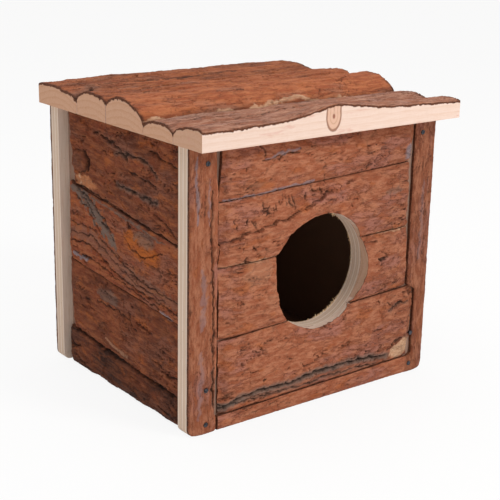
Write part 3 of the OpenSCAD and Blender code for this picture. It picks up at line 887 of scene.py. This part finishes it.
def crowned(u, v, share_u, share_v, seed, edge, crown, rough, marks, tilt=0.0, round_end=1.0, plates=1.0):
    """A bark surface that is thickest along its middle and worn down at its long edges."""
    s = Surface(u, v, seed)
    arch = 1 - np.abs(2 * share_v - 1) ** 2.3
    waver = 0.35 * fractal(u / 40, share_v * 2, seed + 91, 2)
    s.height += edge + crown * arch * (1 + 0.35 * waver)
    along = u * math.cos(tilt) + v * math.sin(tilt)
    across = v * math.cos(tilt) - u * math.sin(tilt)
    bark_relief(s, along, across, rough, plates)
    marks(s)
    span_u, span_v = np.ptp(u), np.ptp(v)
    end_gap = np.minimum(share_u, 1 - share_u) * span_u
    long_gap = np.minimum(share_v, 1 - share_v) * span_v
    s.height -= (round_end + 0.75 * crown * arch * round_end) * (1 - smooth(end_gap, 0, 4.5))
    s.height -= 0.3 * (1 - smooth(end_gap, 0, 0.9)) + 0.45 * (1 - smooth(long_gap, 0, 1.3))
    # Painted shade along the long edges, where the slabs meet.
    s.add("crevice", 0.35 * (1 - smooth(long_gap, 0, 0.7)))
    return s


def seam_line(node_low, node_high):
    return node_low, node_high


FRONT_SLATS = (
    # node, the heights of its low and high edges at the left and right ends, its ends'
    # places at the bottom and top, its crown and how rough it is
    ("front_lower_slat", (7.3, 9.3), (42.4, 46.8), (-56.2, -56.8), (62.5, 64.2), 2.3, 1.15),
    ("front_middle_slat", (42.9, 47.2), (76.3, 78.0), (-56.6, -57.1), (58.6, 57.0), 3.6, 0.7),
    ("front_upper_slat", (76.7, 78.4), (106.0, 110.6), (-57.1, -57.2), (57.4, 56.2), 2.1, 1.0),
    ("front_top_slat", (106.4, 111.0), (BARK_TOP, BARK_TOP), (-57.2, -55.8), (56.6, 58.2), 2.4, 0.8),
)


def front_slat(number, settings):
    node, low, high, left, right, crown, rough = FRONT_SLATS[number]
    seed = settings.seed + 40 * number
    cell = settings.cell
    edge = 2.0

    def shape(u, v, share_u, share_v):
        return crowned(u, v, share_u, share_v, seed, edge, crown, rough * settings.relief, front_marks, 0.04)

    parts = [(node, left, right)]
    if node == "front_middle_slat":
        parts = [
            ("front_middle_left_slat", left, (HOLE_X, HOLE_X)),
            ("front_middle_right_slat", (HOLE_X, HOLE_X), right),
        ]
    for name, ends_left, ends_right in parts:
        whole_u0, whole_u1 = left[0], right[0]

        def own_shape(u, v, share_u, share_v):
            share = (u - whole_u0) / (whole_u1 - whole_u0)
            return shape(u, v, np.clip(share, 0, 1), share_v)

        grid = outline_grid(
            edge_line(*ends_left, 0.22 if ends_left is left else 0, 5, seed + 1),
            edge_line(*ends_right, 0.5 if ends_right is right else 0, 5, seed + 2),
            edge_line(*sub_ends(low, left, right, ends_left, ends_right), 0.0, 9, seed + 3),
            edge_line(*sub_ends(high, left, right, ends_left, ends_right), 0.0, 9, seed + 4),
            cell,
        )
        centre_v = (sum(low) + sum(high)) / 4
        slab_piece(
            name, "front", grid, own_shape, "house",
            [material("front_bark"), material("hole_cut")], cell,
            hole=(HOLE_X, HOLE_Z, HOLE_R + 0.1), centre_v=centre_v,
        )


def sub_ends(heights, left, right, part_left, part_right):
    """The heights at the ends of a part of a slat, from those at the whole slat's ends."""
    span = right[0] - left[0]
    shares = ((part_left[0] - left[0]) / span, (part_right[0] - left[0]) / span)
    return [heights[0] + (heights[1] - heights[0]) * share for share in shares]


def stile_piece(name, face, low_u, high_u, edge, seed, marks, cell, finish, notch=None):
    """An upright strip of bark, rounded at the outer bottom corner as its panel is."""
    outer_left = low_u < 0

    def corner_pull(share):
        height = share * BARK_TOP
        return 3.5 * (1 - np.sqrt(np.clip(1 - (1 - np.clip(height / 3.5, 0, 1)) ** 2, 0, 1)))

    def left(share):
        pull = corner_pull(share) if outer_left else 0
        inner = 0 if outer_left else notch(share * BARK_TOP) if notch else 0
        return low_u + pull + inner + (0.15 if outer_left else 0.25) * fractal(share * 14, share * 0, seed, 3)

    def right(share):
        pull = 0 if outer_left else corner_pull(share)
        inner = notch(share * BARK_TOP) if outer_left and notch else 0
        return high_u - pull + inner + (0.25 if outer_left else 0.15) * fractal(share * 14, share * 0, seed + 1, 3)

    def low(share):
        return share * 0 + 0.05

    def high(share):
        return share * 0 + BARK_TOP

    def shape(u, v, share_u, share_v):
        s = Surface(u, v, seed)
        s.height += edge + 0.5 * (1 - np.abs(2 * share_u - 1) ** 2.5)
        bark_relief(s, v, u, 0.3, 0.7)
        marks(s)
        for centre in ((-62.6, 124.4), (-62.6, 21.2), (-62.6, 4.5), (62.6, 124.4), (62.6, 21.2), (62.6, 4.5)):
            seat(s, (math.copysign(63.5, centre[0]), centre[1]), edge - 0.1)
        gap = np.minimum(share_u, 1 - share_u) * np.ptp(u)
        s.height -= 0.45 * (1 - smooth(gap, 0, 0.8))
        s.height -= 0.5 * (1 - smooth(share_v * BARK_TOP, 0, 1.0))
        return s

    grid = outline_grid(left, right, low, high, cell)
    piece = slab_piece(name, face, grid, shape, "house", [material(finish), material("sawn_end")], cell)
    turn_grain(piece)


def turn_grain(piece):
    """Swaps the grain's first two axes, for a piece whose grain runs upright."""
    data = piece.data.attributes["grain_mm"].data
    values = np.zeros(len(data) * 3, np.float32)
    data.foreach_get("vector", values)
    values = values.reshape(-1, 3)[:, [1, 0, 2]]
    data.foreach_set("vector", np.ascontiguousarray(values).ravel())


def side_slab(side, number, settings):
    """One slab of the left or right facing, cut back in a waver at its rear end."""
    node = f"{side}_slab_{number}"
    low_box, high_box = box_mm(node)
    seams_rear = (0.1, 19.2, 55.9, 95.6, BARK_TOP)
    seams_front = (0.3, 13.8, 49.4, 85.0, BARK_TOP)
    short = ((0.6, 1.0), (4.8, 2.0), (2.6, 3.2), (8.0, 3.6))[number - 1]
    rear = -BACK_LOW[1] + 0.5
    front = -FRONT_HIGH[1] - 0.3
    seed = settings.seed + (300 if side == "left" else 500) + 40 * number
    rough = (1.0, 0.9, 0.85, 1.1)[number - 1] * settings.relief
    cell = settings.cell
    marks = left_marks if side == "left" else right_marks
    mirror = 1 if side == "left" else -1
    rear_line = edge_line(rear + short[0], rear + short[1], 0.6, 4, seed + 5)
    front_line = edge_line(front, front, 0.12, 5, seed + 6)
    low_line = edge_line(seams_rear[number - 1] + 0.3, seams_front[number - 1] + 0.3, 0.35, 7, seed + 7)
    high_line = edge_line(seams_rear[number], seams_front[number], 0.35 if number < 4 else 0, 7, seed + 8)
    if side == "left":
        grid = outline_grid(rear_line, front_line, low_line, high_line, cell)
    else:
        grid = outline_grid(
            lambda t: -front_line(t), lambda t: -rear_line(t),
            lambda s: low_line(1 - s), lambda s: high_line(1 - s), cell,
        )

    shade = (0.8, 0.45, 0.1, 0.42)[number - 1]

    def shape(u, v, share_u, share_v):
        s = crowned(u, v, share_u, share_v, seed, 3.1, 1.0, rough, marks, -0.08 * mirror)
        s.add("dark", shade * (1 + 0.5 * fractal(u / 22, v / 8, seed + 99, 3)) * (1 - 0.8 * s.bare) * (1 - 0.8 * s.warm))
        return s

    centre_v = (seams_rear[number] + seams_rear[number - 1]) / 2
    slab_piece(
        node, side, grid, shape, "house",
        [material("side_bark"), material("sawn_end")], cell, centre_v=centre_v,
    )


def back_slab(number, settings):
    node = f"back_slab_{number}"
    reach = box_mm(node)[1][0] - 0.3
    low_v, high_v = box_mm(node)[0][2], box_mm(node)[1][2]
    seams_left = (0.4, 31.6, 65.9, 101.5, BARK_TOP)
    seams_right = (0.4, 27.7, 69.9, 97.5, BARK_TOP)
    seed = settings.seed + 700 + 40 * number
    cell = settings.cell
    grid = outline_grid(
        edge_line(-reach, -reach, 0.7, 4, seed + 1),
        edge_line(reach, reach, 0.7, 4, seed + 2),
        edge_line(seams_left[number - 1] + 0.3, seams_right[number - 1] + 0.3, 0.3 * (number > 1), 8, seed + 3),
        edge_line(seams_left[number], seams_right[number], 0.3 * (number < 4), 8, seed + 4),
        cell,
    )

    def shape(u, v, share_u, share_v):
        return crowned(u, v, share_u, share_v, seed, 1.6, 1.9, 0.9 * settings.relief, back_marks, 0.03)

    slab_piece(
        node, "back", grid, shape, "house",
        [material("front_bark"), material("hole_cut")], cell, centre_v=(low_v + high_v) / 2,
    )


# ---------------------------------------------------------------- roof


def fascia_height(u):
    """The front slab's sawn front edge: low at the ends, with a hump over its knot."""
    away = (u + 2.4) / np.where(u < -2.4, 18, 24)
    return 8.4 + 5.4 / (1 + away**2)


ROOF_SLABS = (
    # heights of the front and back edges, rise of the crown, how rough it is, its bark, its shade
    (None, 6.0, 1.9, 0.8, "eave_bark", 0.0),
    (5.8, 5.7, 2.2, 0.9, "eave_bark", 0.05),
    (6.3, 10.1, 5.2, 0.8, "roof_bark", 0.0),
    (10.2, 9.0, 2.6, 1.1, "roof_bark", 0.18),
    (7.4, 10.4, 1.9, 1.0, "roof_bark", 0.3),
)


def roof_slab(number, settings):
    node = f"roof_slab_{number}"
    low_box, high_box = box_mm(node)
    front_edge, back_edge, rise, rough, bark, shade = ROOF_SLABS[number - 1]
    seed = settings.seed + 900 + 40 * number
    cell = settings.cell * 1.1
    still = 0.0 if number in (1,) else 0.35
    grid = outline_grid(
        edge_line(-ROOF_HALF_W, -ROOF_HALF_W, 0.15, 6, seed + 1),
        edge_line(ROOF_HALF_W, ROOF_HALF_W, 0.15, 6, seed + 2),
        edge_line(low_box[1], low_box[1], still, 12, seed + 3),
        edge_line(high_box[1], high_box[1], 0.35, 12, seed + 4 if number < 5 else seed + 9),
        cell,
    )

    def shape(u, v, share_u, share_v):
        s = Surface(u, v, seed)
        front = fascia_height(u) if front_edge is None else front_edge
        drift = 0.6 * fractal(u / 45, u * 0 + number, seed + 5, 2)
        arch = (1 - np.abs(2 * share_v - 1) ** 2.2) * (rise + drift)
        fade = (1 - share_v) ** 1.3 if front_edge is None else 1 - share_v
        s.height += back_edge + (front - back_edge) * fade + arch + 0.3 * drift
        bark_relief(s, u + 0.25 * v, v, rough * settings.relief, 0.8)
        roof_marks(s)
        if front_edge is None:
            s.height -= 0.25 * (1 - smooth(share_v * np.ptp(v), 0, 0.8))
        gap = np.minimum(share_v if front_edge is not None else 1, 1 - share_v) * np.ptp(v)
        s.height -= 0.4 * (1 - smooth(gap, 0, 1.2)) + 0.6 * (1 - smooth(gap, 0, 4))
        # Painted shade: slabs 3 to 5 darken over the last 3.5 mm towards their seams, and the seam edge itself is
        # darkened further.
        s.add("dark", 0.5 * (1 - smooth(gap, 0, 3.5)) * (number > 2))
        s.add("crevice", 0.5 * (1 - smooth(gap, 0, 0.8)))
        s.add("dark", shade * (1 + fractal(u / 30, v / 9, seed + 98, 3)))
        s.add("dark", 0.7 * (1 - smooth(np.minimum(u + 75, 75 - u), 0, 1.5 + 2 * noise(v / 3, u / 9, seed))))
        return s

    wood = "sawn_eave" if number == 1 else "sawn_end"
    slab_piece(
        node, "roof", grid, shape, "roof", [material(bark), material(wood)], cell,
        centre_v=(low_box[1] + high_box[1]) / 2, fresh=1.0,
    )


# ---------------------------------------------------------------- operators


class NestHouseBark(bpy.types.PropertyGroup):
    cell: FloatProperty(name="Mesh cell", description="Spacing of the bark's mesh, in millimetres", default=0.5, min=0.3, max=3.0)
    relief: FloatProperty(name="Relief", description="How rough the bark is", default=1.0, min=0.0, max=2.0)
    splinters: IntProperty(name="Splinters", description="Splinters round the hole", default=320, min=1)
    seed: IntProperty(name="Seed", description="Changes the bark's chance pattern", default=1, min=0)


class NestHouseStage(bpy.types.PropertyGroup):
    lens: FloatProperty(name="Lens", description="Focal length in millimetres", default=85.2, min=20, max=300)
    azimuth: FloatProperty(name="Azimuth", description="Camera's direction round the house", default=math.radians(-37.754), subtype="ANGLE")
    elevation: FloatProperty(name="Elevation", description="Camera's height above the level", default=math.radians(17.025), subtype="ANGLE")
    roll: FloatProperty(name="Roll", description="Camera's tilt about its own axis", default=math.radians(-1.186), subtype="ANGLE")
    offset: FloatVectorProperty(name="Offset", description="The base's place in front of the camera", default=(-0.045 * 0.145, -0.397 * 0.145, -4.245 * 0.145), size=3, subtype="TRANSLATION", unit="LENGTH")
    key: FloatProperty(name="Key light", description="Power of the key light", default=5.7, unit="POWER")
    fill: FloatProperty(name="Fill", description="Strength of the light from all round", default=0.55, min=0)


class NESTHOUSE_OT_stage(bpy.types.Operator):
    """Makes the camera, the lights, the pale floor and the white surroundings"""

    bl_idname = "nesthouse.stage"
    bl_label = "Stage"

    def execute(self, context):
        stage = context.scene.nest_house_stage
        scene = context.scene
        a, e, r = stage.azimuth, stage.elevation, stage.roll
        back = Vector((math.sin(a) * math.cos(e), -math.cos(a) * math.cos(e), math.sin(e)))
        right = (-back).cross(Vector((0, 0, 1))).normalized()
        up = right.cross(-back)
        level = Matrix((right, up, back))
        turn = Matrix.Rotation(r, 3, "Z") @ level
        camera = bpy.data.objects.new("camera", bpy.data.cameras.new("camera"))
        camera.data.lens = stage.lens
        camera.data.sensor_width = 36
        scene.collection.objects.link(camera)
        place = turn.transposed() @ -Vector(stage.offset)
        camera.matrix_world = Matrix.Translation(place) @ turn.transposed().to_4x4()
        scene.camera = camera

        self.lamp(scene, "key", (0.35, -0.85, 0.75), 0.36, stage.key, (1.0, 0.985, 0.96))
        self.lamp(scene, "top", (-0.1, 0.1, 0.95), 0.7, stage.key * 0.45, (1.0, 1.0, 1.0))
        self.surroundings(scene, stage.fill)
        self.floor(scene)
        scene.view_settings.view_transform = "Standard"
        return {"FINISHED"}

    def lamp(self, scene, name, place, size, power, tint):
        data = bpy.data.lights.new(name, "AREA")
        data.shape = "DISK"
        data.size = size
        data.energy = power
        data.color = tint
        lamp = bpy.data.objects.new(name, data)
        lamp.location = place
        lamp.rotation_mode = "QUATERNION"
        lamp.rotation_quaternion = (Vector((0, 0, 0.07)) - Vector(place)).to_track_quat("-Z", "Y")
        scene.collection.objects.link(lamp)

    def surroundings(self, scene, fill):
        world = bpy.data.worlds.new("white_room")
        scene.world = world
        world.use_nodes = True
        tree = world.node_tree
        tree.nodes.clear()
        path = add(tree, "ShaderNodeLightPath")
        seen = worked(tree, "MAXIMUM", path.outputs["Is Camera Ray"], path.outputs["Is Glossy Ray"])
        seen = worked(tree, "MAXIMUM", seen, path.outputs["Is Transmission Ray"])
        strength = add(tree, "ShaderNodeMapRange", {0: seen, 3: fill, 4: 1.0}).outputs[0]
        backdrop = add(tree, "ShaderNodeBackground", {"Color": (1, 1, 1, 1), "Strength": strength})
        add(tree, "ShaderNodeOutputWorld", {"Surface": backdrop.outputs[0]})

    def floor(self, scene):
        """A plain pale floor that reads as white where nothing shades it."""
        half = 3.0
        mesh = bpy.data.meshes.new("floor")
        corners = [(-half, -half, 0), (half, -half, 0), (half, half, 0), (-half, half, 0)]
        mesh.from_pydata(corners, [], [(0, 1, 2, 3)])
        floor = bpy.data.objects.new("floor", mesh)
        scene.collection.objects.link(floor)
        paint, tree, shader = new_material("matt_white_paint")
        shader.inputs["Base Color"].default_value = colour("#F4F3F1")
        path = add(tree, "ShaderNodeLightPath")
        seen = worked(tree, "MAXIMUM", path.outputs["Is Camera Ray"], path.outputs["Is Glossy Ray"])
        seen = worked(tree, "MAXIMUM", seen, path.outputs["Is Transmission Ray"])
        white = add(tree, "ShaderNodeEmission", {"Color": (1, 1, 1, 1), "Strength": 1.0})
        share = worked(tree, "MULTIPLY", seen, 0.88)
        inputs = {0: share, 1: shader.outputs[0], 2: white.outputs[0]}
        both = add(tree, "ShaderNodeMixShader", inputs)
        output = next(node for node in tree.nodes if node.type == "OUTPUT_MATERIAL")
        tree.links.new(both.outputs[0], output.inputs[0])
        mesh.materials.append(paint)


class NESTHOUSE_OT_panels(bpy.types.Operator):
    """Gives the plywood panels and the battens their finish"""

    bl_idname = "nesthouse.panels"
    bl_label = "Plywood panels"

    def execute(self, context):
        finishes = {
            "front_panel": "front_ply",
            "back_panel": "back_ply",
            "left_side_panel": "left_ply",
            "right_side_panel": "right_ply",
            "floor_panel": "floor_ply",
            "roof_batten_left": "batten",
            "roof_batten_right": "batten",
            "front_brads": "steel",
            "back_brads": "steel",
            "floor_brads": "steel",
            "batten_brads": "steel",
        }
        for node, finish in finishes.items():
            piece = frame["nodes"][node]
            piece.data.materials.clear()
            piece.data.materials.append(material(finish))
            if finish != "steel":
                bevel = piece.modifiers.new("worn_edges", "BEVEL")
                bevel.width = 0.35 * MM
                bevel.segments = 2
                bevel.limit_method = "ANGLE"
                bevel.angle_limit = math.radians(40)
        return {"FINISHED"}


class NESTHOUSE_OT_front_bark(bpy.types.Operator):
    """Builds the front's stiles, rail and slats around the entrance hole"""

    bl_idname = "nesthouse.front_bark"
    bl_label = "Front bark"

    def execute(self, context):
        settings = context.scene.nest_house_bark
        for number in range(len(FRONT_SLATS)):
            front_slat(number, settings)
        cell = settings.cell
        seed = settings.seed + 200

        def left_notch(v):
            return -0.9 * smooth(v, 111, 120) - 0.8 * (1 - smooth(v, 22, 30)) * smooth(v, 6, 10)

        def right_notch(v):
            return 5.6 * smooth(v, 7, 10) * (1 - smooth(v, 44, 48))

        stile_piece("front_left_stile", "front", -HALF_W, -57.6, 2.0, seed, front_marks, cell, "front_bark", left_notch)
        stile_piece("front_right_stile", "front", 59.2, HALF_W, 2.0, seed + 40, front_marks, cell, "front_bark", right_notch)
        grid = outline_grid(
            edge_line(-57.0, -57.0, 0.2, 3, seed + 81), edge_line(60.5, 60.5, 0.2, 3, seed + 82),
            lambda share: share * 0 + 0.1, edge_line(6.9, 8.9, 0.15, 9, seed + 84), cell,
        )

        def shape(u, v, share_u, share_v):
            s = Surface(u, v, seed + 80)
            s.height += 2.2 + 0.3 * (1 - np.abs(2 * share_v - 1) ** 2)
            bark_relief(s, u, v, 0.3, 0.6)
            s.height -= 0.5 * (1 - smooth(share_v * 7, 0, 1))
            return s

        slab_piece("front_bottom_rail", "front", grid, shape, "house", [material("front_bark"), material("hole_cut")], cell, centre_v=3.6)
        return {"FINISHED"}


class NESTHOUSE_OT_splinters(bpy.types.Operator):
    """Grows the splinters that the saw tore out round the back of the entrance hole"""

    bl_idname = "nesthouse.splinters"
    bl_label = "Hole splinters"

    def execute(self, context):
        count = context.scene.nest_house_bark.splinters
        pick = np.random.default_rng(5)
        angles = pick.uniform(0, 2 * math.pi, count)
        crowd = noise(angles * 2.2, angles * 0 + 0.5, 3)
        points, turns, reaches = [], [], []
        for angle, share in zip(angles, crowd):
            outward = Vector((math.cos(angle), 0, math.sin(angle)))
            along = Vector((-math.sin(angle), 0, math.cos(angle)))
            centre = Vector((HOLE_X, FRONT_HIGH[1] - pick.uniform(0.1, 0.5), HOLE_Z))
            points.append((centre + outward * (HOLE_R + 0.15)) * MM)
            aim = -outward + along * pick.uniform(-1.6, 1.6) + Vector((0, pick.uniform(0, 0.6), 0))
            turns.append(aim.to_track_quat("Z", "Y").to_euler())
            length = 0.5 + max(share, 0) * pick.uniform(0.5, 3.0)
            reaches.append((pick.uniform(0.8, 2.2), pick.uniform(0.5, 1.0), length))
        mesh = bpy.data.meshes.new("splinter_points")
        mesh.from_pydata(points, [], [])
        store(mesh, "turn", "FLOAT_VECTOR", "vector", turns)
        store(mesh, "reach", "FLOAT_VECTOR", "vector", reaches)
        source = bpy.data.objects.new("splinter_points", mesh)
        context.scene.collection.objects.link(source)
        tree = splinter_tree()
        grower = source.modifiers.new("grow", "NODES")
        grower.node_group = tree
        values = {"Thickness": 0.3 * MM, "Material": material("batten")}
        for item in tree.interface.items_tree:
            if item.in_out == "INPUT" and item.name in values:
                grower[item.identifier] = values[item.name]
        ready = source.evaluated_get(context.evaluated_depsgraph_get())
        baked = bpy.data.meshes.new_from_object(ready)
        if not baked.polygons:
            raise RuntimeError("no splinters grew")
        bpy.data.objects.remove(source)
        piece = bpy.data.objects.new("hole_splinters", baked)
        context.scene.collection.objects.link(piece)
        mark_piece(piece, "house")
        return {"FINISHED"}


def splinter_tree():
    """Geometry nodes that stand a thin cone on each point, turned and stretched as it says."""
    tree = bpy.data.node_groups.new("splinters_on_points", "GeometryNodeTree")
    tree.interface.new_socket("Geometry", in_out="INPUT", socket_type="NodeSocketGeometry")
    tree.interface.new_socket("Thickness", in_out="INPUT", socket_type="NodeSocketFloat")
    tree.interface.new_socket("Material", in_out="INPUT", socket_type="NodeSocketMaterial")
    tree.interface.new_socket("Geometry", in_out="OUTPUT", socket_type="NodeSocketGeometry")
    given = add(tree, "NodeGroupInput").outputs
    inputs = {"Vertices": 5, "Radius Top": 0.0, "Radius Bottom": given["Thickness"], "Depth": MM}
    cone = add(tree, "GeometryNodeMeshCone", inputs)
    turn = add(tree, "GeometryNodeInputNamedAttribute", {"Name": "turn"}, data_type="FLOAT_VECTOR")
    reach = add(tree, "GeometryNodeInputNamedAttribute", {"Name": "reach"}, data_type="FLOAT_VECTOR")
    inputs = {
        "Points": given["Geometry"], "Instance": cone.outputs["Mesh"],
        "Rotation": turn.outputs["Attribute"], "Scale": reach.outputs["Attribute"],
    }
    placed = add(tree, "GeometryNodeInstanceOnPoints", inputs)
    whole = add(tree, "GeometryNodeRealizeInstances", {"Geometry": placed.outputs[0]})
    inputs = {"Geometry": whole.outputs[0], "Material": given["Material"]}
    painted = add(tree, "GeometryNodeSetMaterial", inputs)
    add(tree, "NodeGroupOutput", {"Geometry": painted.outputs[0]})
    return tree


class NESTHOUSE_OT_side_bark(bpy.types.Operator):
    """Builds the slabs of both side facings"""

    bl_idname = "nesthouse.side_bark"
    bl_label = "Side bark"

    def execute(self, context):
        for side in ("left", "right"):
            for number in (1, 2, 3, 4):
                side_slab(side, number, context.scene.nest_house_bark)
        return {"FINISHED"}


class NESTHOUSE_OT_back_bark(bpy.types.Operator):
    """Builds the back's stiles and slabs"""

    bl_idname = "nesthouse.back_bark"
    bl_label = "Back bark"

    def execute(self, context):
        settings = context.scene.nest_house_bark
        for number in (1, 2, 3, 4):
            back_slab(number, settings)
        width = float(np.ptp([c[0] for c in box_mm("back_left_stile")]))
        seed = settings.seed + 860
        names = {c: n for n in ("back_left_stile", "back_right_stile") for c in [box_mm(n)[0][0] > 0]}
        stile_piece(names[True], "back", -HALF_W, -HALF_W + width, 1.5, seed, back_marks, settings.cell, "front_bark")
        stile_piece(names[False], "back", HALF_W - width, HALF_W, 1.5, seed + 40, back_marks, settings.cell, "front_bark")
        return {"FINISHED"}


class NESTHOUSE_OT_roof(bpy.types.Operator):
    """Builds the five slabs of the roof"""

    bl_idname = "nesthouse.roof"
    bl_label = "Roof slabs"

    def execute(self, context):
        for number in (1, 2, 3, 4, 5):
            roof_slab(number, context.scene.nest_house_bark)
        return {"FINISHED"}


class NESTHOUSE_PT_panel(bpy.types.Panel):
    """Lists the steps that build the house"""

    bl_idname = "NESTHOUSE_PT_panel"
    bl_label = "Nest House"
    bl_space_type = "VIEW_3D"
    bl_region_type = "UI"
    bl_category = "Nest House"

    def draw(self, context):
        for step in STEPS:
            self.layout.operator(step.bl_idname)
        for group in (context.scene.nest_house_bark, context.scene.nest_house_stage):
            for name in group.__annotations__:
                self.layout.prop(group, name)


STEPS = (
    NESTHOUSE_OT_stage,
    NESTHOUSE_OT_panels,
    NESTHOUSE_OT_front_bark,
    NESTHOUSE_OT_splinters,
    NESTHOUSE_OT_side_bark,
    NESTHOUSE_OT_back_bark,
    NESTHOUSE_OT_roof,
)
CLASSES = (NestHouseBark, NestHouseStage, *STEPS, NESTHOUSE_PT_panel)


def register():
    for cls in CLASSES:
        bpy.utils.register_class(cls)
    bpy.types.Scene.nest_house_bark = PointerProperty(type=NestHouseBark)
    bpy.types.Scene.nest_house_stage = PointerProperty(type=NestHouseStage)


def unregister():
    del bpy.types.Scene.nest_house_bark
    del bpy.types.Scene.nest_house_stage
    for cls in reversed(CLASSES):
        bpy.utils.unregister_class(cls)


def main():
    register()
    bpy.ops.nesthouse.stage()
    bpy.ops.nesthouse.panels()
    bpy.ops.nesthouse.front_bark()
    bpy.ops.nesthouse.splinters()
    bpy.ops.nesthouse.side_bark()
    bpy.ops.nesthouse.back_bark()
    bpy.ops.nesthouse.roof()


if __name__ == "__main__":
    main()
